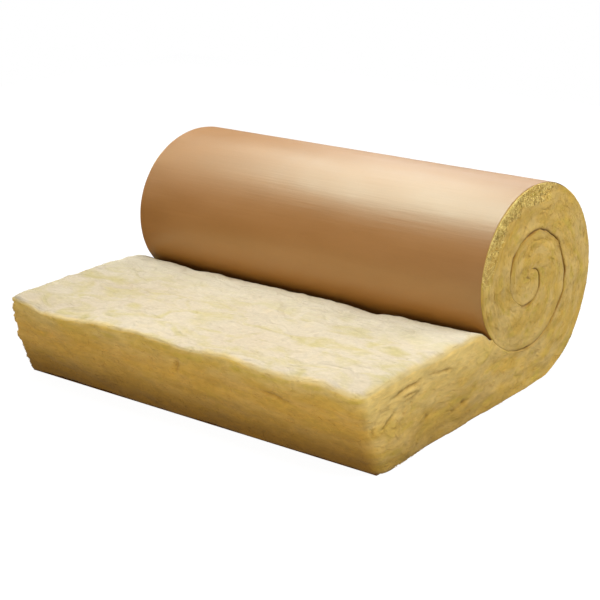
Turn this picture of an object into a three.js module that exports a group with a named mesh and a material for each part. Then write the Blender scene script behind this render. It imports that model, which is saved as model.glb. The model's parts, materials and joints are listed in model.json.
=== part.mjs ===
// Kraft-faced glass wool insulation, a roll that is part unrolled.
//
// One blanket of glass wool with a sheet of kraft paper glued to one side. The paper is the
// outside of the roll. The free end lies open on the floor, paper down, where the wool has
// sprung back to its full loft; the rest is wound up behind it, and each turn is squeezed.
//
// Everything follows one line: the outer face of the paper, seen from the side. It runs along
// the floor from the foot of the free end, then winds inwards. Both pieces are offset from it.
// The profile is drawn as (along the floor, height) and extruded across the blanket's width.
// Millimetres, +Z up. The origin is under the middle of the bounding box, on the floor.

import * as THREE from 'three';

// ---- Blanket ----
const BLANKET_WIDTH = 1200;
const LOFTED_THICKNESS = 238; // paper and wool together, where the blanket lies open
const KRAFT_THICKNESS = 0.5;
const KRAFT_MARGIN = 3; // the wool stands out past the paper by this much at each side
const CLEARANCE = 0.3; // between the paper and the wool
const EDGE_ROUND = 8; // rounding of the wool along its cut sides

// ---- Roll ----
const TURNS = 2.5;
const WOUND_THICKNESS = 134; // mean distance from one turn of the paper to the next
const CORE_RADIUS = 22; // of the paper where it ends, inside the roll
const TIGHTENING = 1.14; // over 1, the inner turns are squeezed more than the outer ones
const SQUASH = 0.068; // share by which the roll is wider and lower than a round one
const LEAN = 0.048; // share by which the far side of the roll hangs lower
const SETTLE = 17; // depth by which the floor flattens the underside
const SETTLE_BLEND = 6; // half the height over which the flat underside turns up
const CORE_LIFT = 7; // the core is pushed up, and towards the free end
const CORE_SHIFT = 7;

// ---- Open end ----
const OPEN_LENGTH = 466; // from under the front of the roll to the foot of the cut end
const END_LEAN = 66; // the top of the cut end springs out past its foot by this much
const END_ROUND = 24; // radius of the wool's top edge along the cut end
const SHOULDER_DROP = 25; // where the roll presses the blanket down in front of it
const SHOULDER_RUN = 82;

// ---- Fineness of the curves ----
const TURN_STEP = THREE.MathUtils.degToRad(5);
const END_STEPS = 6;
const SHOULDER_STEPS = 6;
const ROUND_STEPS = 3;

const FULL_TURN = 2 * Math.PI;
const QUARTER_TURN = Math.PI / 2;
const WOUND_ANGLE = TURNS * FULL_TURN;
const OUTER_RADIUS = CORE_RADIUS + TURNS * WOUND_THICKNESS;
const CENTRE_HEIGHT = OUTER_RADIUS * (1 - SQUASH) - SETTLE;
const WOOL_OFFSET = KRAFT_THICKNESS + CLEARANCE;

const point = (along, height) => new THREE.Vector2(along, height);

// ---- The line of the paper ----

// Height over the floor of what would lie at this height without the floor.
function restOnFloor(height) {
  if (height < -SETTLE_BLEND) return 0;
  if (height > SETTLE_BLEND) return height;
  return (height + SETTLE_BLEND) ** 2 / (4 * SETTLE_BLEND);
}

// The paper at a turn angle, counted inwards from straight below the roll's centre.
function windingPoint(angle) {
  const outwards = Math.max(0, 1 - angle / WOUND_ANGLE);
  const radius = CORE_RADIUS + (OUTER_RADIUS - CORE_RADIUS) * outwards ** TIGHTENING;
  const sideways = radius * Math.sin(angle);
  const along = sideways * (1 + SQUASH) - CORE_SHIFT * (1 - outwards);
  const drop = radius * Math.cos(angle) * (1 - SQUASH) + LEAN * sideways;
  return point(along, restOnFloor(CENTRE_HEIGHT - drop + CORE_LIFT * (1 - outwards)));
}

// The angle at which the first turn comes down onto the open blanket.
function nipAngle() {
  const contact = LOFTED_THICKNESS - SHOULDER_DROP;
  let above = 3 * QUARTER_TURN;
  let below = FULL_TURN;
  while (below - above > 1e-6) {
    const middle = (above + below) / 2;
    if (windingPoint(middle).y > contact) above = middle;
    else below = middle;
  }
  return above;
}

// Even steps from one angle to another, which itself is left out.
function evenSteps(from, to) {
  const count = Math.ceil((to - from) / TURN_STEP);
  return Array.from({ length: count }, (_, i) => from + ((to - from) * i) / count);
}

// ---- Offsets ----

function leftNormal(from, to) {
  const direction = to.clone().sub(from).normalize();
  return point(-direction.y, direction.x);
}

// The line moved to its left, which is the side of the wool, mitred at each bend.
function offsetLine(line, distance) {
  return line.map((here, i) => {
    const before = leftNormal(line[Math.max(i - 1, 0)], line[Math.max(i, 1)]);
    const last = line.length - 1;
    const after = leftNormal(line[Math.min(i, last - 1)], line[Math.min(i + 1, last)]);
    const mitre = before.clone().add(after).divideScalar(1 + before.dot(after));
    return here.clone().addScaledVector(mitre, distance);
  });
}

// ---- The open end of the wool ----

// The cut end, from its top edge down to the foot; it leans out as it rises.
function cutEnd(foot, top) {
  const faceAt = (height) => foot - END_LEAN * Math.sin((QUARTER_TURN * height) / top);
  const start = top - END_ROUND;
  return Array.from({ length: END_STEPS }, (_, i) => {
    const height = start * (1 - i / END_STEPS);
    return point(faceAt(height), height);
  });
}

// The round top edge, from the top face to the cut end.
function topEdge(foot, top) {
  const face = foot - END_LEAN * Math.sin((QUARTER_TURN * (top - END_ROUND)) / top);
  return Array.from({ length: ROUND_STEPS }, (_, i) => {
    const angle = (i / ROUND_STEPS) * QUARTER_TURN;
    const along = face + END_ROUND * (1 - Math.sin(angle));
    return point(along, top - END_ROUND * (1 - Math.cos(angle)));
  });
}

// From the nip up to the level top of the open blanket.
function shoulder(contact, top) {
  return Array.from({ length: SHOULDER_STEPS }, (_, i) => {
    const remaining = 1 - (i + 1) / SHOULDER_STEPS;
    const along = contact.x - SHOULDER_RUN * (1 - remaining);
    return point(along, top - (top - contact.y) * remaining ** 2);
  });
}

// ---- Outlines ----

// Both pieces use the same points of the winding, so the clearance between them stays even.
const nip = nipAngle();
const outsideAngles = evenSteps(0, nip);
const insideAngles = [...evenSteps(nip, WOUND_ANGLE), WOUND_ANGLE];
const winding = [...outsideAngles, ...insideAngles].map(windingPoint);
const rollFront = Math.min(...winding.map((p) => p.x));
const foot = rollFront - OPEN_LENGTH;
const paperLine = [point(foot, 0), ...winding];

function kraftOutline() {
  const woolSide = offsetLine(paperLine, KRAFT_THICKNESS);
  return [...paperLine, ...woolSide.reverse()];
}

function woolOutline() {
  const onPaper = offsetLine(paperLine, WOOL_OFFSET);
  const underPaper = offsetLine(paperLine, -CLEARANCE);
  const firstUnder = 1 + outsideAngles.length;

  // The slot goes on past the inner end of the paper by the clearance.
  const last = paperLine.length - 1;
  const forward = paperLine[last].clone().sub(paperLine[last - 1]).setLength(CLEARANCE);
  const slotEnd = [onPaper[last].clone().add(forward), underPaper[last].clone().add(forward)];

  const between = underPaper.slice(firstUnder).reverse();
  const contact = between[between.length - 1];
  const rise = shoulder(contact, LOFTED_THICKNESS);
  const open = [...topEdge(foot, LOFTED_THICKNESS), ...cutEnd(foot, LOFTED_THICKNESS)];
  return [...onPaper, ...slotEnd, ...between, ...rise, ...open];
}

// ---- Pieces ----

// Extrudes an outline across the blanket, centred on it, with its cut sides rounded inwards.
function acrossBlanket(outline, width, round) {
  const geometry = new THREE.ExtrudeGeometry(new THREE.Shape(outline), {
    depth: width - 2 * round,
    bevelEnabled: round > 0,
    bevelThickness: round,
    bevelSize: round,
    bevelOffset: -round,
    bevelSegments: ROUND_STEPS,
  });
  geometry.translate(0, 0, round - width / 2);
  return geometry;
}

function piece(name, geometry, material) {
  const mesh = new THREE.Mesh(geometry, material);
  mesh.name = name;
  mesh.rotation.set(QUARTER_TURN, QUARTER_TURN, 0); // the profile stands up, facing along X
  return mesh;
}

function kraftFacing() {
  const geometry = acrossBlanket(kraftOutline(), BLANKET_WIDTH - 2 * KRAFT_MARGIN, 0);
  const paper = new THREE.MeshStandardMaterial({ color: 0xa87a4c, roughness: 0.5, metalness: 0 });
  return piece('kraft_facing', geometry, paper);
}

function glassWoolBlanket() {
  const geometry = acrossBlanket(woolOutline(), BLANKET_WIDTH, EDGE_ROUND);
  const wool = new THREE.MeshStandardMaterial({ color: 0xd9bf7e, roughness: 1, metalness: 0 });
  return piece('glass_wool_blanket', geometry, wool);
}

const insulationRoll = new THREE.Group();
insulationRoll.name = 'insulation_roll';
insulationRoll.add(kraftFacing(), glassWoolBlanket());

// The box reaches from the top of the cut end to the far side of the roll.
const bounds = new THREE.Box3().setFromObject(insulationRoll);
insulationRoll.position.y = -(bounds.min.y + bounds.max.y) / 2;

export default insulationRoll;
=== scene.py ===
"""The looks of a part-unrolled, kraft-faced glass wool roll.

Metres, +Z up, X across the blanket. It is shaped in a space of its own and then bent into place:
the run along the paper from the foot of the open end, the height over the paper, and X. The
fibres lie in layers of even height, so what is drawn out along them is so in run and X.
"""
import itertools
import json
import math

import bmesh
import bpy
import numpy as np
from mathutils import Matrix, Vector

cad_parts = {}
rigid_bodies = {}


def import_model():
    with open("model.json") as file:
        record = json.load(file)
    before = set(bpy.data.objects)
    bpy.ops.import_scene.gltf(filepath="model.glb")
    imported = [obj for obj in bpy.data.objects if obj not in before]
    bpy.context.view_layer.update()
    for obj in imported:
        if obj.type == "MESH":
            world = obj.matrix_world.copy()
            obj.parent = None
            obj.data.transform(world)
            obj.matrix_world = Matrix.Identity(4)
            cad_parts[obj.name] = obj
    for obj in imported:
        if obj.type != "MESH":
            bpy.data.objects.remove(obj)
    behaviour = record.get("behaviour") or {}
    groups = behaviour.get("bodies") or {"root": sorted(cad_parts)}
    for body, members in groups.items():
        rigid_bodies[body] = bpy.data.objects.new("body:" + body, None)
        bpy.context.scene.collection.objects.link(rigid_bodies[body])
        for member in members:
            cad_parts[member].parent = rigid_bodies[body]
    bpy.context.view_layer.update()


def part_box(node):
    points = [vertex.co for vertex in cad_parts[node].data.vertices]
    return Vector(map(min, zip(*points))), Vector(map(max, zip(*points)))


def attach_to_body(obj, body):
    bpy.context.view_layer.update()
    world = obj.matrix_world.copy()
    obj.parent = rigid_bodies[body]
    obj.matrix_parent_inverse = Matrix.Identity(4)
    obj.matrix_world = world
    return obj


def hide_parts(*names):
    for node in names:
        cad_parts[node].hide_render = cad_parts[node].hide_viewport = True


# ---- The roll's own sizes, as in its solids
BLANKET_WIDTH = 1.2
LOFTED_THICKNESS = 0.238
KRAFT_THICKNESS = 0.0005
KRAFT_MARGIN = 0.003
CLEARANCE = 0.0003
TURNS = 2.5
WOUND_THICKNESS = 0.134
CORE_RADIUS = 0.022
TIGHTENING = 1.14
SQUASH = 0.068
LEAN = 0.048
SETTLE = 0.017
SETTLE_BLEND = 0.006
CORE_LIFT = 0.007
CORE_SHIFT = 0.007
OPEN_LENGTH = 0.466
END_LEAN = 0.066
SHOULDER_DROP = 0.025
SHOULDER_RUN = 0.082

FULL_TURN = 2 * math.pi
QUARTER_TURN = math.pi / 2
WOUND_ANGLE = TURNS * FULL_TURN
OUTER_RADIUS = CORE_RADIUS + TURNS * WOUND_THICKNESS
CENTRE_HEIGHT = OUTER_RADIUS * (1 - SQUASH) - SETTLE
HALF_WIDTH = BLANKET_WIDTH / 2

# ---- The wool's surface
CLOSING_ANGLE = math.radians(150)  # past the paper's end the wool curls in
SIDE_ROUND = 0.012  # of the cut sides, along X
SEAM_ROUND = 0.0075  # the same next to the paper
TOP_ROUND = (0.013, 0.024)  # of the open part's top, left and right
FOOT_ROUND = 0.006  # of the cut end's foot
END_ROUND = (0.014, 0.03)  # of the cut end along the run, left and right
END_REACH = 0.06  # run that belongs to the cut end
END_FADE = 0.02
SOFT_ROUND = 0.028  # of the open part's right side, towards top and end
MOST_ROUND = 0.45  # share of the thickness
CLOSED = 0.1  # share of the rounding where turns lie close
OPENING_REACH = 0.08  # run in which the wool opens before the nip
MOST_CLEAR = 0.1  # share of the thickness kept clear of paper at most
HIDDEN_ROWS = (-0.5965, -0.54, 0.54, 0.5965)  # X of the hidden vertices
RUN_STEP = 0.0066
HEIGHT_ROWS = 58
ACROSS_STEP = 0.0072
RIM_ACROSS = (-0.6, -0.49, -0.38, -0.28, -0.13, 0.04, 0.17, 0.28, 0.38, 0.47, 0.56, 0.6)
RIM_SAG = (-0.004, 0.02, 0.019, 0.006, 0.001, 0.01, -0.004, 0.004, 0.007, -0.003, 0.011, 0.009)
RIM_REACH = 0.075  # how far in the top rim of the cut end sags
CREASE_ACROSS = (-0.6, -0.5, -0.42, -0.35, -0.2, -0.11, 0.05, 0.18, 0.28, 0.37, 0.42, 0.6)
CREASE_REACH = (0.012, 0.02, 0.018, 0.021, 0.015, 0.019, 0.022, 0.02, 0.031, 0.021, 0.028, 0.016)
CREASE = 0.05  # depth, in front of the roll
CREASE_LIMITS = (0.7, 1.3)  # least and most, as shares of that
CREASE_FULL = (-0.53, 0.46)  # X between which it is full
CREASE_AT_SIDES = 0.3  # share of it at the sides
LIP_REACH = 0.045
LEFT_RISE = 0.006  # how much higher the top lies at its left side
LEFT_REACH = (0.38, 0.58)  # how far left that begins and is full
LEFT_FADES = ((0.05, 0.22), (-0.02, 0.1))  # before the nip, past the foot
FOOT_SPREAD = 0.011  # how far the right side's foot is pressed out
FOOT_SPOT = ((0.07, 0.045), (0.16, 0.055))  # its run and height, then its reach
CRINKLE_SPOT = ((0.13, 0.14), (0.09, 0.05))  # of the small upright folds over it

RAGGED_ANGLES = np.radians((163, 258))
RAGGED = (RAGGED_ANGLES, 0.03, 0.12, 0.4)  # angles, width, fading along and across
RIDGED = (np.radians((185, 320)), 0.095, 0.15, 0.5)
GAPING_ANGLES = np.radians(((332, 630), (672, 880)))  # where paper shows on the roll's ends
GAPING_FADE = 0.5
GAPING_LEAST = 0.45  # the least of it that shows between them
WOBBLE = 0.007  # how far the inner turns' edges stray
WOBBLE_ANGLES = np.radians((360, 440))  # where that begins and is full
WOBBLE_CELL = (0.3, 0.05, 0.05)
WOBBLE_SEEDS = (81, 86)  # along Y and Z
WOBBLE_REACH = 0.06  # how far in from the sides
CALM_REACH = 0.02  # how far from the paper the wool is held smooth
CALM_LEAST = 0.35  # share of its relief left there
GASHES = (  # face (1: +X, 0: cut end), run or across, height, length, width, depth, heading
    (1, 0.165, 0.192, 0.125, 0.005, 0.008, 0.02),
    (1, 0.3, 0.186, 0.08, 0.005, 0.0045, -0.15),
    (1, 0.23, 0.078, 0.03, 0.0065, 0.007, 1.40),
    (1, 0.4, 0.066, 0.034, 0.0065, 0.007, 0.1),
    (1, 0.08, 0.137, 0.06, 0.0045, 0.007, 0.55),
    (1, 0.022, 0.118, 0.04, 0.006, 0.006, 1.20),
    (0, -0.002, 0.167, 0.046, 0.006, 0.012, 1.30),
    (0, 0.33, 0.168, 0.09, 0.0055, 0.006, -0.1),
)
GASH_REACH = 0.06  # how far in from its face a gash can go
COARSE_REACH = 0.28  # how far along the right side the wool's layers lie open
COARSE_SIDES = 0.4  # how coarse other cut wool is beside that
COARSE_END = 0.45  # the same on the open blanket's cut end
TUCK = 0.002  # on the left end the wool stays inside the paper's edge
TUCK_HEIGHTS = (0.005, 0.045)
TUCK_RUN = (0.05, 0.12)
FRAY_REACH = 0.04
FRAY_ACROSS = 0.4  # how far left the cut end's fraying begins
FACING_END = 0.7  # how squarely a face looks along the run to count as the end
CUT_TURN = (0.5, 0.95)  # how far a face is turned up where it stops being a cut one
SKIN_TURN = (0.25, 0.98)  # and where it takes on the skin's colour
SKIN_FADE = 0.05
SEAM_REACHES = (0.0015, 0.01)  # how far from paper the wool takes painted seam shade fully, and at all
# the least painted seam shade next to paper, as a share
SEAM_LEAST = 0.08
NOOK_DEPTHS = (0.024, 0.044)  # how deep the crease is where its wool begins to take painted shade, and takes it fully
GAPE = 0.0026  # how far the fibres keep clear of paper that shows
MOST_GAPE = 0.3  # that at most, as a share of the thickness

# ---- The wool's relief: height, grain along each axis, seed and octaves
BILLOWS = (0.0085, (0.24, 0.19, 0.19), 1, 3)
SWELLS = (0.005, (0.1, 0.085, 0.055), 4, 2)
LAYERS = (0.0015, (0.11, 0.016, 0.11), 11, 3)
RIDGES = (0.006, (0.19, 0.0095, 0.19), 15, 1)
TUFTS = (0.0013, (0.026, 0.011, 0.026), 21, 3)
PUCKERS = (0.0034, (0.045, 0.05, 0.065), 31, 3)
FINE_PUCKERS = (0.0011, (0.017, 0.05, 0.023), 33, 1)
CLUMPS = (0.0024, (0.022, 0.013, 0.022), 45, 2)
RIM_UNEVEN = (0.027, (0.05, 1, 1), 46, 2)
CRINKLES = (0.0045, (0.015, 0.03, 0.03), 48, 2)
GASH_WIGGLE = (0.009, (0.045, 0.05, 0.045), 55, 3)
FRAYING = (0.015, (0.05, 0.011, 0.05), 57, 2)
CREASE_UNEVEN = (0.4, (0.1, 1, 1), 62, 3)
LIP = (0.006, (0.05, 1, 1), 66, 3)
FINE_LIP = (0.0021, (0.017, 1, 1), 67, 1)
SKIN_UNEVEN = (0.2, (0.05, 0.05, 0.05), 95, 2)

# ---- Where it shows: grain, seed, octaves, and the noise where it begins and is full
TORN = ((0.17, 0.06, 0.17), 41, 3, 0.14, 0.55)
WRINKLED = ((0.11, 0.1, 0.11), 52, 3, 0.1, 0.45)
GASHED = ((0.028, 0.03, 0.028), 56, 3, -0.55, 0.25)
GAPING = ((0.06, 1, 1), 91, 3, -0.25, 0.4)

# ---- Its thin lines: grain, seed and width; how deep they lie and how much painted shade they take
CREVICES = ((0.085, 0.022, 0.085), 42, 0.12)
CREVICE_DEPTH = 0.007
WRINKLES = ((0.03, 0.08, 0.085), 51, 0.1)
WRINKLE_DEPTH = 0.0022
WRINKLE_SHADE = 0.12
GASH_SHADE = 0.6
PIT_SHADE = 0.15
PIT_DEPTHS = (0.0004, 0.0026)
TORN_RUN = (0.01, 0.06)  # the wool tears only this far from the cut end

# ---- The fibres that stand on the wool
FIBRE_STATIONS = 5
FIBRE_SIDES = 3
FIBRE_BEND = 1.1  # radians from tip to tip
FIBRE_RAISE = 0.003  # how far a loose tip stands off the wool, on average
FIBRE_RAISES = 3  # and at most, in times that
FIBRE_SUNK = 0.0003
FIBRE_TIPS_SUNK = 0.0016
FIBRE_PROBE = 0.0005
RIM_SPREAD = 1.12  # tufts thin out over this share of the rim
RIM_WIDTH = 0.045
RIM_CROWDING = 1.6  # over 1, they crowd towards the paper
BRIGHT_FROM = 0.93  # from this tone a tuft on the rim takes a painted highlight
BRIGHT_TONE = 1.25
BRIGHT_GLINT = 0.9
FIBRES = (  # name, face, seed, count, turn, lengths, radii, share of loose ones, tones, rise
    ("fibres_right", 1, 101, 10700, 0.3, (0.014, 0.05), (0.0002, 0.0005), 0.08, (0.94, 1.12), 0.0003),
    ("fibres_left", -1, 102, 9500, 0.3, (0.014, 0.05), (0.0002, 0.0005), 0.08, (0.94, 1.12), 0.0003),
    ("fibres_rim", "rim", 105, 2600, 0.9, (0.01, 0.028), (0.0003, 0.0009), 0.4, (0.82, 1.12), 0.0004),
    ("fibres_cut", "cut", 103, 7500, 0.45, (0.012, 0.045), (0.0002, 0.00045), 0.05, (0.94, 1.12), 0.0003),
    # the top's tufts are lighter than the wool: painted light against their own shading
    ("fibres_top", "top", 104, 6500, 0.75, (0.012, 0.04), (0.00015, 0.0003), 0, (1.02, 1.12), 0),
)

# ---- The paper's surface
KRAFT_RUN_STEP = 0.016
KRAFT_ACROSS_STEP = 0.015
PAPER_RIPPLE = 0.002
WAVES = (0.5, (0.16, 1, 0.42), 71, 1)  # as in the wool's relief; shares of the ripple
FINE_WAVES = (0.175, (0.06, 1, 0.13), 72, 1)
FOLDS = (0.2, (0.45, 1, 0.045), 73, 1)
FOLDED = ((0.5, 1, 0.4), 74, 1, -0.3, 0.5)
MIDDLE_RIPPLE, MOST_RIPPLE = 0.5, 1.2
RIPPLE_FADES = (0.1, 0.05)  # from under the roll, and towards the nip
SHARP = math.radians(50)
CALM_ANGLE = math.radians(40)  # the paper is held flat up to here

# ---- Colours, linear
WOOL_GOLD = (0.64, 0.408, 0.075, 1)
WOOL_BEIGE = (0.69, 0.475, 0.145, 1)
WOOL_GREENISH = (0.616, 0.426, 0.068, 1)
WOOL_OCHRE = (0.65, 0.339, 0.05, 1)
# painted light on the upper part of the open part's sides
WOOL_SIDE_LIGHT = (0.8, 0.585, 0.2, 1)
# painted shade, darker towards the foot of the open part's cut wool
WOOL_FOOT_SHADE = (0.235, 0.104, 0.006, 1)
# painted shade in crevices, pits, gashes and wrinkles
WOOL_CREVICE_SHADE = (0.4, 0.21, 0.015, 1)
# painted shade in the gaps where paper shows between turns, and in the crease at the nip
WOOL_SEAM_SHADE = (0.31, 0.145, 0.014, 1)
SKIN_CREAM = (0.61, 0.528, 0.38, 1)
SKIN_WARM = (0.584, 0.49, 0.344, 1)
SKIN_GREENISH = (0.525, 0.447, 0.205, 1)
# painted light on the skin near the nip, against the roll's shadow
SKIN_NIP_LIGHT = (0.7, 0.64, 0.48, 1)
# painted highlight on the rounded top edges, between skin and cut wool
WOOL_RIM_HIGHLIGHT = (0.66, 0.52, 0.24, 1)
# painted glint on the bright tufts of the torn rim
WOOL_GLINT = (1, 0.84, 0.32, 1)
WOOL_SHEEN = (1, 0.9, 0.7, 1)
KRAFT_BROWN = (0.312, 0.117, 0.011, 1)
KRAFT_LIGHT = (0.332, 0.127, 0.014, 1)
KRAFT_TINT = (0.83, 0.99, 0.81, 1)

# ---- Patches in them: grains a metre, detail, distortion, range, what that maps to
CUT_BROAD = ((7, 20, 7), 3, 0, 0.4, 0.61)
CUT_GREEN = ((13, 30, 13), 2, 0, 0.52, 0.72)
CUT_MOTTLE = ((30, 50, 30), 2, 0.8, 0.34, 0.68, 0.92, 1.06)
CUT_STREAKS = ((24, 130, 24), 3, 0.8, 0.34, 0.7, 0.96, 1.04)
SKIN_BROAD = ((6, 6, 6), 3, 0, 0.38, 0.66)
SKIN_GREEN = ((18, 8, 10), 3, 0.8, 0.44, 0.68, 0, 0.9)
SKIN_FELT = ((150, 70, 70), 3, 0.8, 0.35, 0.68, 0.94, 1.05)
KRAFT_MOTTLE = ((5, 14, 14), 3, 0, 0.35, 0.65)
KRAFT_PULP = ((60, 420, 420), 3, 0, 0.3, 0.7, 0.97, 1.03)

# ---- Where they lie: a range, mostly in metres, and the colour's share at both ends
BESIDE_END = (0, 0.022)  # run from the cut end to the sides beside it
OCHRE_HEIGHTS = (0.165, 0.225, 0.6, 0)
OPENED_RUN = (0.4, 0.75, 1, 0)
# painted light on the upper part of the open part's sides
SIDE_LIGHT_HEIGHTS = (0.1, 0.22, 0, 0.85)
# painted shade towards the foot: over the open part's cut wool, and more on its cut end
OPEN_FOOT_SHADE = (0, 0.14, 0.42, 0)
CUT_END_FOOT_SHADE = (0, 0.155, 0.95, 0)
BRIGHT_RUN = (0.7, 1, 0.08, 0)  # by how much the open part's two sides are lighter
# painted light on the skin near the nip, against the roll's shadow
NIP_LIGHT_RUN = (0.26, 0.42, 0, 0.75)
LEFT_SHADE = (-0.6, -0.1, 0.83, 1)  # along X
RIM_BEGINS = (0, 0.12)  # skin's share at which the rounded top edges begin to take a painted highlight
RIM_ENDS = (0.5, 0.98, 0.55, 0)

# ---- Fine bumps: grains a metre, detail and distortion
FIBRE_BUMPS = ((90, 620, 90), 4, 1.2)
FELT_BUMPS = ((150, 85, 85), 4, 1)
FINE_BUMP = 0.001
FINE_STRENGTH = (0.4, 0.75)  # on cut wool and on the skin
LUMPS = ((25, 15, 13), 2, 1)
LUMP_HEIGHT = 0.017
LUMPY_SKIN = (0.3, 1)
KRAFT_GRAIN = ((5, 75, 75), 3)
KRAFT_GRAIN_STRENGTH = 0.5
KRAFT_ROUGHNESS = (0.43, 0.48)

# ---- Noise and sampling
GRADIENT_SEED = 7
GRADIENT_COUNT = 1024
SEED_SHIFT = 17.31
HASH_PRIMES = (73856093, 19349663, 83492791)
HASH_SHIFT = 11
NOISE_GAIN = 1.7
TINY = 1e-9
WELD_DISTANCE = 1e-6
RUN_SAMPLES = 20000
LINE_SAMPLES = 2000
OVER_SAMPLES = 400

# ---- Studio
LAMPS = (  # name, azimuth, elevation, distance, width, height, watts, X of what it looks at
    ("key", 143, 46, 4, 1.5, 1.6, 54, 0.9),
    ("key_left", 181, 56, 4, 1.5, 1.3, 64, 0.9),
    ("back", 127, 21, 4, 2.2, 1.1, 22, 1.5),
    ("right_high", 10, 55, 6, 2.4, 2, 138, 0),
    ("right_back", 40, 25, 6, 2.4, 2, 165, 0),
    ("front", -72, 8, 6, 2.4, 2, 194, 0),
    ("left", -135, 55, 6, 2.4, 2.4, 28, 0),
    ("left_low", 182, 14, 6, 2.4, 2, 130, 0),
)
LAMP_TARGET_HEIGHT = 0.25
FLOOR = 4  # from its middle to its edges
FLOOR_GLOW = 0.95  # seen by the camera besides the lamps' light on it
FLOOR_COLOUR = (0.11, 0.11, 0.11, 1)
WHITE = (1, 1, 1, 1)
AMBIENT = 0.11

# ---- Camera
CAMERA_PLACE = ((0.0848, -0.1361, 0.25), -52.811, 18.347, 4.2146)  # target, angles, distance
CAMERA_LENS = 92.01  # mm, as is the width of the sensor
CAMERA_SENSOR = 36
CAMERA_REACH = 100


# ======== noise

def unit(vectors):
    """The vectors, each made one long."""
    return vectors / np.maximum(np.linalg.norm(vectors, axis=-1, keepdims=True), TINY)


def together(*columns):
    """Coordinates put together as points."""
    return np.stack(columns, axis=-1)


GRADIENTS = unit(np.random.default_rng(GRADIENT_SEED).normal(size=(GRADIENT_COUNT, 3)))


def noise(points, cell, seed):
    """Smooth noise from about -1 to 1 at points; cell is its grain along each axis."""
    scaled = points / np.asarray(cell, float) + seed * SEED_SHIFT
    corner = np.floor(scaled).astype(np.int64)
    inside = scaled - corner
    fade = inside ** 3 * (inside * (inside * 6 - 15) + 10)
    total = np.zeros(len(points))
    for step in itertools.product((0, 1), repeat=3):
        x, y, z = ((corner + step) * HASH_PRIMES).T
        mixed = x ^ y ^ z
        gradient = GRADIENTS[(mixed ^ (mixed >> HASH_SHIFT)) % GRADIENT_COUNT]
        weight = np.prod(np.where(step, fade, 1 - fade), axis=1)
        total += weight * ((inside - step) * gradient).sum(axis=1)
    return total * NOISE_GAIN


def layered_noise(points, cell, seed, octaves):
    """Octaves of noise, each half as large and half as coarse."""
    cell = np.asarray(cell, float)
    parts = [noise(points, cell / 2 ** i, seed + i) / 2 ** i for i in range(octaves)]
    return sum(parts) / (2 - 2 ** (1 - octaves))


def field(points, height, cell, seed, octaves):
    return height * layered_noise(points, cell, seed, octaves)


def patches(points, cell, seed, octaves, low, high):
    """1 where the noise is over high and 0 where it is under low."""
    return ramp(layered_noise(points, cell, seed, octaves), low, high)


def on_line(place):
    """Points for noise that varies along one line."""
    return together(place, 0 * place, 0 * place)


def spot(space, centre, reach):
    """1 at a run and height, and less around it."""
    run, height, _ = space.T
    aside = ((run - centre[0]) / reach[0]) ** 2 + ((height - centre[1]) / reach[1]) ** 2
    return np.exp(-aside)


def creases(points, cell, seed, width):
    """1 along thin winding lines; width is their share of the cell."""
    return np.clip(1 - np.abs(noise(points, cell, seed)) / width, 0, 1) ** 1.5


def ramp(value, low, high):
    """0 below low, 1 above high, and a smooth curve between."""
    share = np.clip((value - low) / (high - low), 0, 1)
    return share * share * (3 - 2 * share)


# ======== the line of the paper

def rest_on_floor(height):
    """Height over the floor of what would lie at this height without it."""
    blended = (height + SETTLE_BLEND) ** 2 / (4 * SETTLE_BLEND)
    return np.where(height < -SETTLE_BLEND, 0, np.where(height > SETTLE_BLEND, height, blended))


def winding(angle):
    """(along, height) of the paper at a turn angle, and of the wool past its end."""
    angle = np.asarray(angle, float)
    outwards = np.clip(1 - angle / WOUND_ANGLE, 0, None)
    radius = CORE_RADIUS + (OUTER_RADIUS - CORE_RADIUS) * outwards ** TIGHTENING
    closing = np.clip((angle - WOUND_ANGLE) / CLOSING_ANGLE, 0, 1)
    radius = np.where(angle > WOUND_ANGLE, CORE_RADIUS * np.cos(QUARTER_TURN * closing), radius)
    sideways = radius * np.sin(angle)
    along = sideways * (1 + SQUASH) - CORE_SHIFT * (1 - outwards)
    drop = radius * np.cos(angle) * (1 - SQUASH) + LEAN * sideways
    height = rest_on_floor(CENTRE_HEIGHT - drop + CORE_LIFT * (1 - outwards))
    return together(along, height)


def nip_angle(contact_height):
    """The angle at which the first turn comes down to this height."""
    angles = np.linspace(math.pi + QUARTER_TURN, FULL_TURN, LINE_SAMPLES)
    return np.interp(-contact_height, -winding(angles)[:, 1], angles)


def arc_lengths(line):
    """The run along a line of points, from its first."""
    steps = np.linalg.norm(np.diff(line, axis=0), axis=1)
    return np.concatenate([[0], np.cumsum(steps)])


NIP_ANGLE = nip_angle(LOFTED_THICKNESS - SHOULDER_DROP)
NIP = winding(NIP_ANGLE)
UNDER_CENTRE = winding(0)[0]
ROLL_FRONT = winding(np.linspace(math.pi, FULL_TURN, LINE_SAMPLES))[:, 0].min()
ROLL_BACK = winding(np.linspace(0, math.pi, LINE_SAMPLES))[:, 0].max()
FOOT = ROLL_FRONT - OPEN_LENGTH


# ======== the blanket's own space

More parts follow.
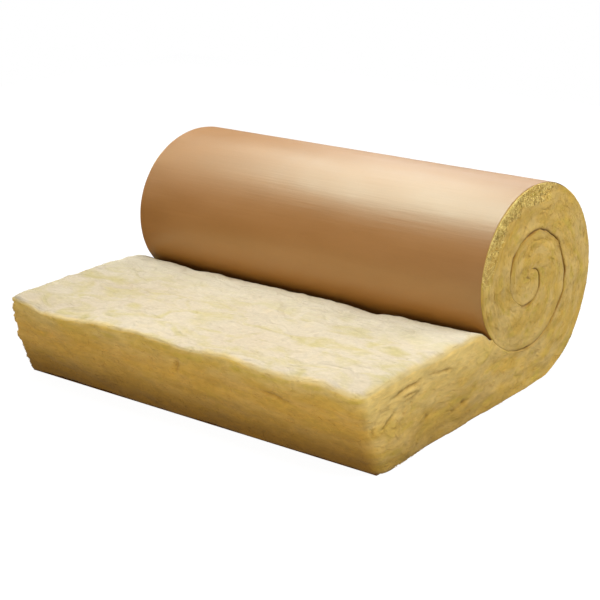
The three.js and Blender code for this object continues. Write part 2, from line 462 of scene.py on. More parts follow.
class Blanket:
    """Bends the blanket's own space into place."""

    def __init__(self, back_of_roll):
        self.shift = back_of_roll - ROLL_BACK
        self.open_count = math.ceil((NIP[0] - FOOT) / RUN_STEP)
        open_share = np.arange(self.open_count) / self.open_count
        under_count = math.ceil((UNDER_CENTRE - NIP[0]) / RUN_STEP)
        under = np.linspace(NIP[0], UNDER_CENTRE, under_count, endpoint=False)
        flat = np.concatenate([FOOT + (NIP[0] - FOOT) * open_share, under])
        self.angles = self.wound_angles()
        self.bottom = np.concatenate([together(flat, 0 * flat), winding(self.angles)])
        self.top = np.concatenate([
            self.open_top(open_share), self.first_turn_over(under),
            winding(self.angles + FULL_TURN)])
        self.angles_over = np.concatenate([
            np.full(self.open_count, NIP_ANGLE), self.angle_over(under), self.angles + FULL_TURN])
        self.run = arc_lengths(self.bottom)
        self.open_run = self.run[self.open_count]
        self.flat_run = self.run[len(flat)]
        self.thickness = np.linalg.norm(self.top - self.bottom, axis=1)

    @staticmethod
    def wound_angles():
        """Turn angles at even runs along the paper, from under the centre."""
        fine = np.linspace(0, WOUND_ANGLE + CLOSING_ANGLE, RUN_SAMPLES)
        run = arc_lengths(winding(fine))
        count = math.ceil(run[-1] / RUN_STEP)
        return np.interp(np.linspace(0, run[-1], count + 1), run, fine)

    @staticmethod
    def open_top(share):
        """The open blanket's top, pressed down by the roll at the nip."""
        start = FOOT - END_LEAN
        along = start + (NIP[0] - start) * share
        pressed = np.clip((along - NIP[0]) / SHOULDER_RUN + 1, 0, 1)
        return together(along, LOFTED_THICKNESS - SHOULDER_DROP * pressed ** 2)

    @staticmethod
    def angle_over(along):
        """The turn angle of the first turn's paper straight above these places."""
        angles = np.linspace(NIP_ANGLE, FULL_TURN, OVER_SAMPLES)
        return np.interp(along, winding(angles)[:, 0], angles)

    def first_turn_over(self, along):
        return together(along, winding(self.angle_over(along))[:, 1])

    def run_at(self, angle):
        """The run at which the paper reaches a turn angle."""
        return np.interp(angle, self.angles, self.run[-len(self.angles):])

    def angle_at(self, run):
        """The turn angle that the paper has reached at a run."""
        return np.interp(run, self.run[-len(self.angles):], self.angles)

    def angle_at_over(self, run):
        """The same for the paper that lies over a run."""
        return np.interp(run, self.run, self.angles_over)

    def thickness_at(self, run):
        return np.interp(run, self.run, self.thickness)

    def strip(self, space, angles, width, fade, soft):
        """1 on wool next to the paper between two turn angles; soft is a share of the width."""
        run, height, _ = space.T
        start, stop = self.run_at(angles)
        within = ramp(run, start, start + fade) * ramp(stop - run, 0, fade)
        return within * ramp(width - height, 0, soft * width)

    def calm(self, space):
        """1 inside a turn and less near its paper, where the wool is held."""
        run, height, _ = space.T
        thickness = self.thickness_at(run)
        edge = np.minimum(height, np.where(run < self.open_run, 1, thickness - height))
        return CALM_LEAST + (1 - CALM_LEAST) * ramp(edge, 0, CALM_REACH)

    def gaping_at(self, angle):
        """How much the paper shows on the roll's ends at a turn angle."""
        shown = np.zeros(len(angle))
        for start, stop in GAPING_ANGLES:
            begun = ramp(angle, start, start + GAPING_FADE)
            shown += begun * ramp(stop - angle, 0, GAPING_FADE)
        uneven = patches(on_line(self.run_at(angle)), *GAPING)
        return np.clip(shown, 0, 1) * (GAPING_LEAST + (1 - GAPING_LEAST) * uneven)

    def gaping(self, run):
        return self.gaping_at(self.angle_at(run))

    def gaping_over(self, run):
        return self.gaping_at(self.angle_at_over(run)) * (run > self.open_run)

    def at(self, run, line):
        return together(*(np.interp(run, self.run, column) for column in line.T))

    def place(self, space):
        """World positions of points given in the blanket's own space."""
        run, height, across = space.T
        foot = self.at(run, self.bottom)
        rise = self.at(run, self.top) - foot
        share = height / np.maximum(np.linalg.norm(rise, axis=1), TINY)
        flat = foot + rise * share[:, None]
        inside = np.clip(share, 0, 1)
        fading = np.clip(1 - run / self.open_run, 0, 1) ** 2
        bulge = END_LEAN * (np.sin(QUARTER_TURN * inside) - inside) * fading
        along = flat[:, 0] + np.minimum(run, 0) - bulge
        where = run, inside, across
        height = flat[:, 1] - self.rim_sag(*where) - self.crease(*where) + self.left_rise(*where)
        placed = together(across, along + self.shift, height)
        return placed + self.wobble(run, inside, placed)

    def wobble(self, run, inside, placed):
        """How far the inner turns are dragged about near the blanket's sides."""
        under = ramp(self.angle_at(run), *WOBBLE_ANGLES)
        over = ramp(self.angle_at_over(run), *WOBBLE_ANGLES)
        share = under + (over - under) * inside
        share *= np.clip((np.abs(placed[:, 0]) - HALF_WIDTH) / WOBBLE_REACH + 1, 0, 1)
        along, up = (field(placed, WOBBLE, WOBBLE_CELL, seed, 3) for seed in WOBBLE_SEEDS)
        return together(0 * share, share * along, share * up)

    @staticmethod
    def rim_sag(run, share, across):
        """How far the soft top rim of the cut end hangs."""
        sag = np.interp(across, RIM_ACROSS, RIM_SAG)
        return sag * np.exp(-(run / RIM_REACH) ** 2) * share ** 2

    def left_rise(self, run, share, across):
        before_nip, past_foot = LEFT_FADES
        fading = ramp(self.open_run - run, *before_nip) * ramp(run, *past_foot)
        return LEFT_RISE * fading * ramp(-across, *LEFT_REACH) * share ** 2

    def crease(self, run, share, across):
        """How far the wool dips at the nip, in a crease that goes on under the roll."""
        line = on_line(across)
        deep = CREASE * np.clip(1 + field(line, *CREASE_UNEVEN), *CREASE_LIMITS)
        deep *= np.interp(across, (-HALF_WIDTH, *CREASE_FULL, HALF_WIDTH), (
            CREASE_AT_SIDES, 1, 1, CREASE_AT_SIDES))
        reach = np.interp(across, CREASE_ACROSS, CREASE_REACH)
        before = deep * np.exp(-np.clip(self.open_run - run, 0, None) / reach)
        lip = field(line, *LIP) + field(line, *FINE_LIP)
        before -= lip * np.exp(-((self.open_run - run) / LIP_REACH) ** 2)
        under = np.clip(self.at(run, self.top)[:, 1] - NIP[1] + deep, 0, None)
        under = np.where(run < self.flat_run, np.minimum(under, deep), 0)
        return np.where(run < self.open_run, before, under) * share ** 3


# ======== the wool's surface

def rounded(blanket, run, share, across):
    """Points of the block once it is rounded, and the way out of it there."""
    opened = ramp(blanket.open_run - run, 0, OPENING_REACH)
    low, high = wool_limits(blanket, run, across)
    height = low + (high - low) * share
    fits = MOST_ROUND * (high - low)
    upper = share > 0.5
    gap = np.where(upper, blanket.gaping_over(run), blanket.gaping(run))
    closed = CLOSED + (1 - CLOSED) * gap
    seam_round = SEAM_ROUND * closed
    top_round = np.interp(across, (-HALF_WIDTH, HALF_WIDTH), TOP_ROUND)
    top_round = np.minimum(seam_round + (top_round - seam_round) * opened, fits)
    low_round = np.minimum(np.where(run < END_REACH, FOOT_ROUND, seam_round), fits)
    end_round = np.interp(across, (-HALF_WIDTH, HALF_WIDTH), END_ROUND)
    side_round = SIDE_ROUND * closed
    soft = opened * np.maximum(upper, ramp(END_REACH - run, 0, END_FADE))
    side_round += (SOFT_ROUND - side_round) * soft * (across > 0)
    radii = together(end_round, np.where(upper, top_round, low_round), side_round)
    half = HALF_WIDTH - side_round
    core = together(
        np.maximum(run, end_round), np.clip(height, low + low_round, high - top_round),
        np.clip(across, -half, half))
    outward = unit((together(run, height, across) - core) / np.maximum(radii, TINY))
    return core + outward * radii, outward


def wool_limits(blanket, run, across):
    """The heights between which the wool lies: clear of the paper, but closed past its edge."""
    thickness = blanket.thickness_at(run)
    most = MOST_CLEAR * thickness
    past_edge = ramp(KRAFT_MARGIN + np.abs(across) - HALF_WIDTH, 0, KRAFT_MARGIN / 2)
    half = KRAFT_THICKNESS / 2
    low = half + (half + CLEARANCE) * (1 - past_edge * (1 - blanket.gaping(run)))
    clear = CLEARANCE - (CLEARANCE + half) * past_edge * (1 - blanket.gaping_over(run))
    clear = np.where(run < blanket.open_run, 0, clear)
    return np.minimum(low, most), thickness - np.minimum(clear, most)


def relief(blanket, space, outward):
    """How far the wool stands out, and how much painted shade each place takes in its hollows."""
    run, height, across = space.T
    cut = 1 - ramp(np.abs(outward[:, 1]), *CUT_TURN)
    skin = (1 - cut) * ramp(blanket.open_run - run, 0, SKIN_FADE)
    placed = blanket.place(space)
    coarse = coarseness(space, outward)
    crevice = creases(space, *CREVICES) * patches(space, *TORN) * ramp(run, *TORN_RUN)
    layers = field(space, *LAYERS) + blanket.strip(space, *RIDGED) * field(space, *RIDGES)
    fine = coarse * (layers + field(space, *TUFTS) - CREVICE_DEPTH * crevice)
    ragged = blanket.strip(space, *RAGGED)
    clumps = ragged * field(space, *CLUMPS)
    crinkles = (across > 0) * spot(space, *CRINKLE_SPOT) * field(space, *CRINKLES)
    gash, gash_depth = gashes(space)
    frayed = fray(space) * np.abs(outward[:, 2]) + foot_spread(space, outward)
    wrinkle = creases(space, *WRINKLES) * patches(space, *WRINKLED)
    puckers = field(space, *PUCKERS) + field(space, *FINE_PUCKERS)
    out = (cut + skin) * field(placed, *BILLOWS)
    out += cut * blanket.calm(space) * (field(placed, *SWELLS) + fine)
    out += cut * (crinkles + clumps + frayed - gash_depth)
    out += skin * (puckers - WRINKLE_DEPTH * wrinkle)
    tucked = cut * (across < 0) * (1 - ramp(height, *TUCK_HEIGHTS)) * ramp(run, *TUCK_RUN)
    out = out * (1 - tucked) - TUCK * tucked
    pits = ragged * ramp(-clumps, *PIT_DEPTHS)
    # painted shade: crevices, pits and gashes on cut wool, wrinkles on the skin
    depth = np.maximum.reduce([crevice * coarse, PIT_SHADE * pits, GASH_SHADE * gash])
    return out, np.clip(cut * depth + WRINKLE_SHADE * skin * wrinkle, 0, 1)


def foot_spread(space, outward):
    """How far the foot of the right side is pressed out."""
    return FOOT_SPREAD * spot(space, *FOOT_SPOT) * np.clip(outward[:, 2], 0, 1)


def coarseness(space, outward):
    """How coarse the cut wool is: most on the right side near the open end."""
    near_end = np.exp(-(space[:, 0] / COARSE_REACH) ** 2) * (space[:, 2] > 0)
    sides = COARSE_SIDES + (1 - COARSE_SIDES) * near_end
    return np.where(outward[:, 0] < -FACING_END, COARSE_END, sides)


def gashes(space):
    """The larger tears in the cut faces: how much painted shade each place takes, and how deep it lies.
    """
    dark, deep = np.zeros((2, len(space)))
    wiggle = field(space, *GASH_WIGGLE)
    uneven = patches(space, *GASHED)
    for face, first, second, length, width, depth, heading in GASHES:
        axis = 0 if face else 2
        outwards = space[:, 2] * face if face else HALF_WIDTH - space[:, 0]
        along, over = space[:, axis] - first, space[:, 1] - second + wiggle
        turned = along * math.cos(heading) + over * math.sin(heading)
        aside = over * math.cos(heading) - along * math.sin(heading)
        hit = (outwards > HALF_WIDTH - GASH_REACH) * uneven
        hit *= np.exp(-(2 * turned / length) ** 4 - (aside / width) ** 2)
        dark, deep = np.maximum(dark, hit), np.maximum(deep, depth * hit)
    return dark, deep


def fray(space):
    """Raised and sunken layers at the left corner of the cut end."""
    near = np.exp(-(space[:, 0] / FRAY_REACH) ** 2) * ramp(-space[:, 2], FRAY_ACROSS, HALF_WIDTH)
    return near * field(space, *FRAYING)


def wool_surface(blanket, run, share, across, lift=0):
    """World positions on the wool, and what its material reads there."""
    space, outward = rounded(blanket, run, share, across)
    out, depth = relief(blanket, space, outward)
    opened = run < blanket.open_run
    skin = ramp(outward[:, 1] + field(space, *SKIN_UNEVEN), *SKIN_TURN) * opened
    moved = space + outward * (out + lift)[:, None]
    low, high = wool_limits(blanket, run, moved[:, 2])
    moved[:, 1] = np.clip(moved[:, 1], low, np.where(opened, np.inf, high))
    # painted shade: in the crease at the nip, and next to paper, most where it shows
    nook = ramp(blanket.crease(run, share, across), *NOOK_DEPTHS)
    seam_shade = np.maximum.reduce([
        nook, near_paper(moved[:, 1]) * np.maximum(SEAM_LEAST, blanket.gaping(run)),
        near_paper(high - moved[:, 1]) * blanket.gaping_over(run)])
    return blanket.place(moved), {"layers": space, "skin": skin, "crevice": depth, "seam_shade": seam_shade}


def near_paper(distance):
    """1 against the paper, 0 away from it."""
    return 1 - ramp(distance, *SEAM_REACHES)


def numbered(first, *shape):
    """Vertex numbers from the first on, in an array."""
    return first + np.arange(math.prod(shape)).reshape(shape)


def grid_faces(ids, flip=False):
    """Quads over a two-dimensional array of vertex numbers."""
    quads = together(ids[:-1, :-1], ids[1:, :-1], ids[1:, 1:], ids[:-1, 1:]).reshape(-1, 4)
    return (quads[:, ::-1] if flip else quads).tolist()


def make_object(name, vertices, faces, attributes):
    """A smooth mesh object; attributes maps a name to a number or vector per vertex."""
    mesh = bpy.data.meshes.new(name)
    mesh.from_pydata(vertices.tolist(), [], faces)
    for key, values in attributes.items():
        kind, part = ("FLOAT_VECTOR", "vector") if values.ndim == 2 else ("FLOAT", "value")
        layer = mesh.attributes.new(key, kind, "POINT")
        layer.data.foreach_set(part, np.ascontiguousarray(values, np.float32).ravel())
    mesh.polygons.foreach_set("use_smooth", [True] * len(mesh.polygons))
    mesh.update()
    obj = bpy.data.objects.new(name, mesh)
    bpy.context.scene.collection.objects.link(obj)
    return obj


class WoolBlock:
    """The blanket's closed surface as a block: fine where it shows, plain against the paper."""

    def __init__(self, blanket):
        self.blanket = blanket
        columns, opened = len(blanket.run), blanket.open_count + 1
        inner = math.ceil(BLANKET_WIDTH / ACROSS_STEP) - 1
        self.left = numbered(0, columns, HEIGHT_ROWS + 1)
        self.right = self.left + self.left.size
        top = numbered(2 * self.left.size, opened, inner)
        end = numbered(top.max() + 1, HEIGHT_ROWS, inner)
        self.low = numbered(end.max() + 1, len(HIDDEN_ROWS), columns - 1)
        self.high = numbered(self.low.max() + 1, len(HIDDEN_ROWS), columns - opened)
        self.count = self.high.max() + 1
        self.top = np.hstack([self.left[:opened, -1:], top, self.right[:opened, -1:]])
        self.end = np.hstack([
            self.left[0][:, None], np.vstack([end, top[:1]]), self.right[0][:, None]])

    def points(self):
        """Run, share of the height and place across of every vertex."""
        run, share, across = np.zeros((3, self.count))
        rows = np.linspace(0, 1, self.left.shape[1])
        side = np.linspace(-HALF_WIDTH, HALF_WIDTH, self.top.shape[1])
        for ids, x in ((self.left, side[0]), (self.right, side[-1])):
            run[ids], share[ids], across[ids] = self.blanket.run[:, None], rows, x
        run[self.top], share[self.top] = self.blanket.run[:len(self.top), None], 1
        across[self.top] = side
        run[self.end], share[self.end], across[self.end] = 0, rows[:, None], side
        for ids, row in ((self.low, 0), (self.high, 1)):
            run[ids], share[ids] = self.blanket.run[-ids.shape[1]:], row
            across[ids] = np.array(HIDDEN_ROWS)[:, None]
        return run, share, across

    def faces(self):
        quads = grid_faces(self.left) + grid_faces(self.right, flip=True)
        return quads + grid_faces(self.top, flip=True) + grid_faces(self.end) + self.hidden_faces()

    def hidden_faces(self):
        """Against the paper, a few wide faces for each step of the run."""
        nip = self.blanket.open_count
        low = np.vstack([self.left[1:, 0], self.low, self.right[1:, 0]])
        high = np.vstack([self.left[nip + 1:, -1], self.high, self.right[nip + 1:, -1]])
        foot = np.concatenate([self.end[0][::-1], low[:, 0]]).tolist()
        over = np.concatenate([self.top[nip], high[::-1, 0]]).tolist()
        return [foot, over] + grid_faces(low, flip=True) + grid_faces(high)


def build_wool(blanket):
    block = WoolBlock(blanket)
    positions, attributes = wool_surface(blanket, *block.points())
    attributes["tone"] = np.ones(len(positions))
    wool = make_object("glass_wool", positions, block.faces(), attributes)
    weld(wool)
    return wool


def weld(obj):
    """Joins vertices that meet at the roll's centre and turns every face outwards."""
    mesh = bmesh.new()
    mesh.from_mesh(obj.data)
    bmesh.ops.remove_doubles(mesh, verts=mesh.verts, dist=WELD_DISTANCE)
    bmesh.ops.recalc_face_normals(mesh, faces=mesh.faces)
    mesh.to_mesh(obj.data)
    mesh.free()


# ======== the fibres

class Face:
    """One face of the blanket, on which fibres are strewn."""

    def __init__(self, blanket, side):
        """side is -1 or 1 for the roll's ends, "rim" for the torn rim at 1, "cut" or "top"."""
        self.blanket, self.side = blanket, side
        steps = np.linalg.norm(np.diff((blanket.bottom + blanket.top) / 2, axis=0), axis=1)
        area = steps * (blanket.thickness[:-1] + blanket.thickness[1:]) / 2
        self.area = np.concatenate([[0], np.cumsum(area)]) / area.sum()

    def strewn(self, draw, count):
        """Two coordinates on the face for each fibre, in metres."""
        first, second = draw.random((2, count))
        if self.side == "cut":
            return (first - 0.5) * BLANKET_WIDTH, second * LOFTED_THICKNESS
        if self.side == "top":
            return (first - 0.5) * BLANKET_WIDTH, second * self.blanket.open_run
        if self.side == "rim":
            start, stop = self.blanket.run_at(RAGGED_ANGLES)
            share = 0.5 + RIM_SPREAD * np.arcsin(2 * first - 1) / math.pi
            run = start + (stop - start) * share
            width = RIM_WIDTH + field(on_line(run), *RIM_UNEVEN)
            return run, width * second ** RIM_CROWDING
        run = np.interp(first, self.area, self.blanket.run)
        return run, second * self.blanket.thickness_at(run)

    def on_block(self, first, second):
        """Run, share of the height and place across for coordinates on the face."""
        across = np.clip(first, -HALF_WIDTH, HALF_WIDTH)
        if self.side == "cut":
            return 0 * first, np.clip(second / LOFTED_THICKNESS, 0, 1), across
        if self.side == "top":
            return np.clip(second, 0, self.blanket.open_run), 0 * first + 1, across
        run = np.clip(first, 0, self.blanket.run[-1])
        thickness = self.blanket.thickness_at(run)
        most = MOST_GAPE * thickness
        clear = np.minimum(GAPE * self.blanket.gaping(run), most)
        clear_over = np.minimum(GAPE * self.blanket.gaping_over(run), most)
        height = np.clip(second, clear, thickness - clear_over)
        end = 1 if self.side == "rim" else self.side
        return run, height / thickness, np.full(len(first), end * HALF_WIDTH)


def build_fibres(blanket, name, side, seed, count, turn, lengths, radii, loose, tones, rise):
    """Thin closed tufts of glass fibre on one face; turn is how far they stray, in radians."""
    draw = np.random.default_rng(seed)
    face = Face(blanket, side)
    first, second = face.strewn(draw, count)
    heading = draw.normal(0, turn, count)
    bend = draw.normal(0, FIBRE_BEND, count)
    length = draw.uniform(*lengths, count)
    along = np.linspace(-0.5, 0.5, FIBRE_STATIONS)[:, None]
    angle = heading + bend * along
    first = (first + along * length * np.cos(angle)).ravel()
    second = (second + along * length * np.sin(angle)).ravel()
    lift = fibre_lift(draw, count, along, loose, rise)
    block = face.on_block(first, second)
    shape = (FIBRE_STATIONS, count, 3)
    centre, seen = wool_surface(blanket, *block, lift.ravel())
    centre = centre.reshape(shape)
    out = wool_surface(blanket, *block, lift.ravel() + FIBRE_PROBE)[0].reshape(shape) - centre
    radius = draw.uniform(*radii, count)
    vertices, faces = tubes(centre, out, radius)
    vertices[..., 2] = np.maximum(vertices[..., 2], 0)
    tone = draw.uniform(*tones, count)
    glint = np.zeros(count)
    # bright rim tufts take a painted highlight: a higher tone and a glint
    if side == "rim":
        bright = tone > BRIGHT_FROM
        tone, glint = np.where(bright, BRIGHT_TONE, tone), BRIGHT_GLINT * bright
    # the tufts take the wool's painted crevice and seam shade where they stand
    attributes = {key: around(values.reshape(*shape[:2], -1)) for key, values in seen.items()}
    each = vertices.shape[1]
    attributes.update(tone=np.repeat(tone, each), glint=np.repeat(glint, each))
    return make_object(name, vertices.reshape(-1, 3), faces, attributes)


def around(values):
    """Gives each station's value to all the vertices round it."""
    repeats = [1] + [FIBRE_SIDES] * (FIBRE_STATIONS - 2) + [1]
    spread = np.repeat(values.transpose(1, 0, 2), repeats, axis=1)
    return spread.reshape(-1, 3) if values.shape[2] == 3 else spread.ravel()


def fibre_lift(draw, count, along, loose, rise):
    """Height over the wool of each station of each fibre."""
    lying = draw.uniform(-FIBRE_SUNK, rise, count) - FIBRE_TIPS_SUNK * (2 * along) ** 4
    raised = draw.exponential(FIBRE_RAISE, count) * (draw.random(count) < loose)
    return lying + np.minimum(raised, FIBRE_RAISES * FIBRE_RAISE) * (along + 0.5) ** 2


def tubes(centre, out, radius):
    """Closed tubes, pointed at both ends, round lines of points (stations, count, 3)."""
    stations, count = centre.shape[:2]
    forward = unit(np.gradient(centre, axis=0))
    side = unit(np.cross(out, forward))
    up = np.cross(forward, side)
    corners = FULL_TURN * np.arange(FIBRE_SIDES) / FIBRE_SIDES
    rings = np.stack([math.cos(a) * side + math.sin(a) * up for a in corners], axis=2)
    rings = rings[1:-1] * radius[:, None, None] + centre[1:-1, :, None]
    rings = rings.transpose(1, 0, 2, 3).reshape(count, -1, 3)
    vertices = np.concatenate([centre[0][:, None], rings, centre[-1][:, None]], axis=1)
    first = vertices.shape[1] * np.arange(count)[:, None, None]
    faces = []
    for part in map(np.array, tube_faces(stations - 2)):
        faces += (part + first).reshape(-1, part.shape[1]).tolist()
    return vertices, faces


def tube_faces(rings):
    """One tube's triangles and quads over its own vertices: a tip, rings, a tip."""
    last = 1 + rings * FIBRE_SIDES
    tips, sides = [], []
    for corner in range(FIBRE_SIDES):
        beside = (corner + 1) % FIBRE_SIDES
        tips.append((0, 1 + beside, 1 + corner))
        tips.append((last, last - FIBRE_SIDES + corner, last - FIBRE_SIDES + beside))
        for low in range(1, last - FIBRE_SIDES, FIBRE_SIDES):
            high = low + FIBRE_SIDES
            sides.append((low + corner, low + beside, high + beside, high + corner))
    return tips, sides


# ======== the paper

def build_kraft(blanket):
    """The facing, one thin closed sheet under the blanket and round every turn."""
    last = blanket.run_at(WOUND_ANGLE)
    run = np.linspace(0, last, math.ceil(last / KRAFT_RUN_STEP) + 1)
    half = HALF_WIDTH - KRAFT_MARGIN
    across = np.linspace(-half, half, math.ceil(2 * half / KRAFT_ACROSS_STEP) + 1)
    runs, sides = (grid.ravel() for grid in np.meshgrid(run, across, indexing="ij"))
    back = paper_ripple(blanket, runs, sides)
    ids = numbered(0, 2, len(run), len(across))
    vertices = np.concatenate([
        blanket.place(together(runs, height - back, sides)) for height in (0, KRAFT_THICKNESS)])
    rim = np.concatenate([
        ids[:, :, 0], ids[:, -1, 1:], ids[:, -2::-1, -1], ids[:, 0, -2::-1]], axis=1)
    faces = grid_faces(ids[0]) + grid_faces(ids[1], flip=True) + grid_faces(rim)
    kraft = make_object("kraft_paper", vertices, faces, {})
    weld(kraft)
    kraft.data.set_sharp_from_angle(angle=SHARP)
    return kraft


def paper_ripple(blanket, run, across):
    """How far the paper stands off the wool under it, on the part that shows."""
    shown = ramp(run, blanket.flat_run + RIPPLE_FADES[0], blanket.run_at(CALM_ANGLE))
    shown *= ramp(blanket.run_at(NIP_ANGLE) - run, 0, RIPPLE_FADES[1])
    points = together(run, 0 * run, across)
    waves = field(points, *WAVES) + field(points, *FINE_WAVES)
    folds = field(points, *FOLDS) * patches(points, *FOLDED)
    return PAPER_RIPPLE * shown * np.clip(MIDDLE_RIPPLE + waves + folds, 0, MOST_RIPPLE)


# ======== materials

class Nodes:
    """The node tree of a new material or world, with a short way to add nodes."""

    def __init__(self, owner, shader="Principled BSDF"):
        self.owner = owner
        owner.use_nodes = True
        self.tree = owner.node_tree
        self.shader = self.tree.nodes[shader]

    def add(self, kind, inputs, output=0, **settings):
        """One output of a new node with these settings and inputs, by name or number."""
        made = self.tree.nodes.new(kind)
        for key, value in settings.items():
            setattr(made, key, value)
        for key, value in inputs.items():
            self.set(made.inputs[key], value)
        return made.outputs[output]

    def set(self, socket, value):
        if isinstance(value, bpy.types.NodeSocket):
            self.tree.links.new(value, socket)
        else:
            socket.default_value = value

    def finish(self, **inputs):
        """Sets the shader's inputs, named with underlines for spaces."""
        for key, value in inputs.items():
            self.set(self.shader.inputs[key.replace("_", " ")], value)
        return self.owner

    def attribute(self, name, output="Fac"):
        return self.add("ShaderNodeAttribute", {}, output, attribute_name=name)

    def maths(self, operation, first, second):
        return self.add("ShaderNodeMath", {0: first, 1: second}, operation=operation)

    def times(self, first, second):
        return self.maths("MULTIPLY", first, second)

    def noise(self, vector, scale, detail, distortion=0):
        """Noise at a vector drawn out by scale, in grains a metre along each axis."""
        drawn = self.add("ShaderNodeVectorMath", {0: vector, 1: scale}, operation="MULTIPLY")
        return self.add("ShaderNodeTexNoise", {
            "Vector": drawn, "Scale": 1, "Detail": detail, "Distortion": distortion})

    def spread(self, value, low, high, to_low=0, to_high=1, curve="LINEAR"):
        """Maps low..high of a value to to_low..to_high, and holds it outside."""
        return self.add("ShaderNodeMapRange", {
            "Value": value, "From Min": low, "From Max": high,
            "To Min": to_low, "To Max": to_high}, interpolation_type=curve)

    def patches(self, vector, scale, detail, distortion, low, high, to_low=0, to_high=1):
        return self.spread(self.noise(vector, scale, detail, distortion), low, high, to_low, to_high)

    def mix(self, share, first, second, blend="MIX"):
        """Mixes colours, through the colour sockets of the Mix node."""
        return self.add("ShaderNodeMix", {0: share, 6: first, 7: second}, 2,
                        data_type="RGBA", blend_type=blend)

    def coated(self, colour, *coats):
        """A colour under others, each given after its share."""
        for share, coat in coats:
            colour = self.mix(share, colour, coat)
        return colour

    def toned(self, colour, *factors):
        """A colour made lighter or darker by factors."""
        for factor in factors:
            grey = self.add("ShaderNodeCombineColor", {0: factor, 1: factor, 2: factor})
            colour = self.mix(1, colour, grey, "MULTIPLY")
        return colour


def wool_material():
    """Golden with streaks along its layers; the uncut top is a pale, felted skin."""
    nodes = Nodes(bpy.data.materials.new("glass wool"))
    layers = nodes.attribute("layers", "Vector")
    share = nodes.attribute("skin")
    # edge: a painted highlight on the rounded top edges
    edge = nodes.times(nodes.spread(share, *RIM_BEGINS), nodes.spread(share, *RIM_ENDS))
    # crevice: painted shade in crevices, pits, gashes and wrinkles
    colour = nodes.coated(
        wool_cut_colour(nodes, layers), (share, wool_skin_colour(nodes, layers)), (edge, WOOL_RIM_HIGHLIGHT),
        # seam shade: painted shade next to paper that shows, and in the crease at the nip
        (nodes.attribute("crevice"), WOOL_CREVICE_SHADE), (nodes.attribute("seam_shade"), WOOL_SEAM_SHADE))
    colour = nodes.toned(colour, nodes.attribute("tone"))
    # a painted glint on the bright rim tufts
    colour = nodes.mix(nodes.attribute("glint"), colour, WOOL_GLINT)
    return nodes.finish(
        Base_Color=colour, Roughness=0.95, Specular_IOR_Level=0.2, Sheen_Weight=0.10,
        Sheen_Roughness=0.6, Sheen_Tint=WOOL_SHEEN, Normal=wool_bump(nodes, layers))


def wool_cut_colour(nodes, layers):
    run, height = (nodes.add("ShaderNodeSeparateXYZ", {0: layers}, axis) for axis in (0, 1))
    at_end, beside = nodes.spread(run, *BESIDE_END, 1, 0), nodes.spread(run, *BESIDE_END)
    opened = nodes.spread(run, *OPENED_RUN)
    warm = nodes.times(at_end, nodes.spread(height, *OCHRE_HEIGHTS))
    # painted light on the upper part of the open part's sides
    lit_side = nodes.times(nodes.times(opened, beside), nodes.spread(height, *SIDE_LIGHT_HEIGHTS))
    # painted shade, darker towards the foot of the open part and most on its cut end
    foot = nodes.times(opened, nodes.spread(height, *OPEN_FOOT_SHADE))
    low = nodes.times(at_end, nodes.spread(height, *CUT_END_FOOT_SHADE, curve="SMOOTHSTEP"))
    bright = nodes.times(beside, nodes.spread(run, *BRIGHT_RUN))
    colour = nodes.coated(
        WOOL_GOLD, (nodes.patches(layers, *CUT_BROAD), WOOL_BEIGE),
        (nodes.patches(layers, *CUT_GREEN), WOOL_GREENISH), (warm, WOOL_OCHRE),
        (lit_side, WOOL_SIDE_LIGHT), (nodes.maths("MAXIMUM", foot, low), WOOL_FOOT_SHADE))
    return nodes.toned(
        colour, nodes.maths("ADD", 1, bright), nodes.patches(layers, *CUT_MOTTLE),
        nodes.patches(layers, *CUT_STREAKS))


def wool_skin_colour(nodes, layers):
    run, side = (nodes.add("ShaderNodeSeparateXYZ", {0: layers}, axis) for axis in (0, 2))
    # near the nip the skin takes painted light against the roll's shadow
    colour = nodes.coated(
        SKIN_CREAM, (nodes.patches(layers, *SKIN_BROAD), SKIN_WARM),
        (nodes.patches(layers, *SKIN_GREEN), SKIN_GREENISH),
        (nodes.spread(run, *NIP_LIGHT_RUN), SKIN_NIP_LIGHT))
    return nodes.toned(
        colour, nodes.patches(layers, *SKIN_FELT), nodes.spread(side, *LEFT_SHADE))


def wool_bump(nodes, layers):
    """Fibres on cut wool; on the skin felt, over soft lumps."""
    skin = nodes.attribute("skin")
    fibres, felt = nodes.noise(layers, *FIBRE_BUMPS), nodes.noise(layers, *FELT_BUMPS)
    lumps = nodes.add("ShaderNodeBump", {
        "Height": nodes.noise(layers, *LUMPS), "Distance": LUMP_HEIGHT,
        "Strength": nodes.spread(skin, *LUMPY_SKIN)})
    return nodes.add("ShaderNodeBump", {
        "Height": nodes.add("ShaderNodeMix", {0: skin, 2: fibres, 3: felt}),
        "Strength": nodes.spread(skin, 0, 1, *FINE_STRENGTH), "Distance": FINE_BUMP,
        "Normal": lumps})


def kraft_material():
    """Brown kraft paper with a satin wax, mottled by its pulp."""
    nodes = Nodes(bpy.data.materials.new("kraft paper"))
    place = nodes.add("ShaderNodeTexCoord", {}, "Object")
    mottle = nodes.patches(place, *KRAFT_MOTTLE)
    colour = nodes.mix(mottle, KRAFT_BROWN, KRAFT_LIGHT)
    colour = nodes.toned(colour, nodes.patches(place, *KRAFT_PULP))
    grain = nodes.add("ShaderNodeBump", {
        "Height": nodes.noise(place, *KRAFT_GRAIN), "Strength": KRAFT_GRAIN_STRENGTH,
        "Distance": FINE_BUMP})
    return nodes.finish(
        Base_Color=colour, Roughness=nodes.spread(mottle, 0, 1, *KRAFT_ROUGHNESS), Normal=grain,
        IOR=1.7, Specular_IOR_Level=0.86, Specular_Tint=KRAFT_TINT)


# ======== studio

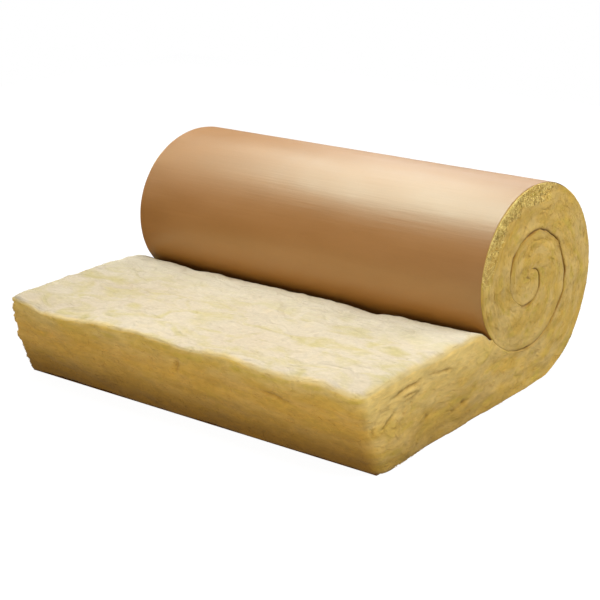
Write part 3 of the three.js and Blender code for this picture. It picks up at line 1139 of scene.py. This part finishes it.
def look_at(target, azimuth, elevation, distance, name, data):
    """A new object that looks at a target; azimuths go from +X towards +Y."""
    a, e = math.radians(azimuth), math.radians(elevation)
    away = Vector((math.cos(a) * math.cos(e), math.sin(a) * math.cos(e), math.sin(e)))
    made = bpy.data.objects.new(name, data)
    made.location = Vector(target) + away * distance
    made.rotation_euler = (-away).to_track_quat("-Z", "Y").to_euler()
    bpy.context.scene.collection.objects.link(made)
    return made


def make_camera():
    data = bpy.data.cameras.new("camera")
    data.lens, data.sensor_width, data.clip_end = CAMERA_LENS, CAMERA_SENSOR, CAMERA_REACH
    bpy.context.scene.camera = look_at(*CAMERA_PLACE, "camera", data)


def make_lamp(name, azimuth, elevation, distance, width, height, power, target):
    """A soft panel lamp."""
    data = bpy.data.lights.new(name, "AREA")
    data.shape, data.size, data.size_y, data.energy = "RECTANGLE", width, height, power
    target = (target, 0, LAMP_TARGET_HEIGHT)
    look_at(target, azimuth, elevation, distance, name, data).visible_camera = False


def make_floor():
    corners = ((-1, -1, 0), (1, -1, 0), (1, 1, 0), (-1, 1, 0))
    floor = make_object("floor", FLOOR * np.array(corners), [[0, 1, 2, 3]], {})
    floor.data.materials.append(floor_material())


def floor_material():
    """Grey to the lamps, so it throws little light on the roll, but white to the camera."""
    nodes = Nodes(bpy.data.materials.new("floor"))
    seen = nodes.add("ShaderNodeLightPath", {}, "Is Camera Ray")
    return nodes.finish(
        Base_Color=FLOOR_COLOUR, Roughness=1, Specular_IOR_Level=0,
        Emission_Color=WHITE, Emission_Strength=nodes.times(seen, FLOOR_GLOW))


def make_world():
    """White to the camera and dim as a light."""
    world = bpy.context.scene.world = bpy.data.worlds.new("world")
    nodes = Nodes(world, "Background")
    seen = nodes.add("ShaderNodeLightPath", {}, "Is Camera Ray")
    nodes.finish(Color=WHITE, Strength=nodes.spread(seen, 0, 1, AMBIENT))


# ======== assembly

def attach(obj, node, material):
    obj.data.materials.append(material)
    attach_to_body(obj, "root")
    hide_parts(node)


def main():
    for obj in list(bpy.data.objects):
        bpy.data.objects.remove(obj)
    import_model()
    make_camera()
    make_floor()
    make_world()
    for lamp in LAMPS:
        make_lamp(*lamp)
    bpy.context.scene.view_settings.view_transform = "Standard"
    blanket = Blanket(float(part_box("kraft_facing")[1][1]))
    wool, glass_wool = build_wool(blanket), wool_material()
    attach(wool, "glass_wool_blanket", glass_wool)
    for row in FIBRES:
        attach(build_fibres(blanket, *row), "glass_wool_blanket", glass_wool)
    attach(build_kraft(blanket), "kraft_facing", kraft_material())


main()
